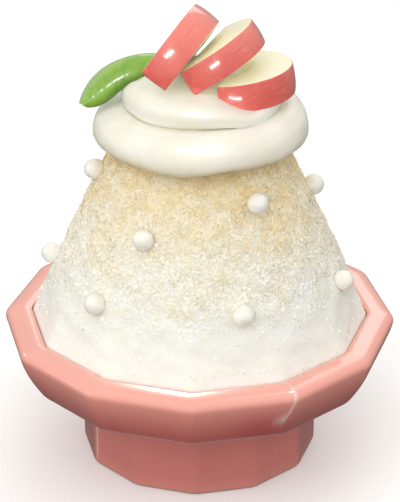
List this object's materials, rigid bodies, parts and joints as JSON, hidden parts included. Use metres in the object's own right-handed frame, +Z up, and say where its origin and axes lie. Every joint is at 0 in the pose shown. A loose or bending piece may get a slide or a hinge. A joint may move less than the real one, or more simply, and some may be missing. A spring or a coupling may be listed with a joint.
{
  "type": "shaved ice dessert",
  "caption": "Heap of syrup-tinted shaved ice in a faceted pink ceramic bowl, topped with piped cream, apple slices, a green leaf and small rice-dough pearls.",
  "frame": {"origin": "on the ground under the middle of the bowl's foot", "axes": "+Z up, -Y towards the front, where the cream's seam shows; +X to the right seen from the front"},
  "size_m": [0.1498, 0.1498, 0.1808],
  "materials": {
    "glaze": "glossy salmon pink glaze",
    "ice": "fluffy shaved ice, stained pale caramel by syrup towards the top",
    "cream": "smooth whipped cream with a soft sheen",
    "apple": "shiny coral red apple skin round moist pale yellow flesh",
    "leaf": "waxy fresh green leaf",
    "pearl": "smooth moist rice dough"
  },
  "bodies": {
    "root": {"bowl": "glaze", "ice": "ice", "cream": "cream", "apple_slice_1": "apple", "apple_slice_2": "apple", "apple_slice_3": "apple", "leaf": "leaf", "pearl_1": "pearl", "pearl_2": "pearl", "pearl_3": "pearl", "pearl_4": "pearl", "pearl_5": "pearl", "pearl_6": "pearl", "pearl_7": "pearl", "pearl_8": "pearl", "pearl_9": "pearl", "pearl_10": "pearl", "pearl_11": "pearl", "pearl_12": "pearl", "pearl_13": "pearl", "pearl_14": "pearl"}
  },
  "joints": []
}
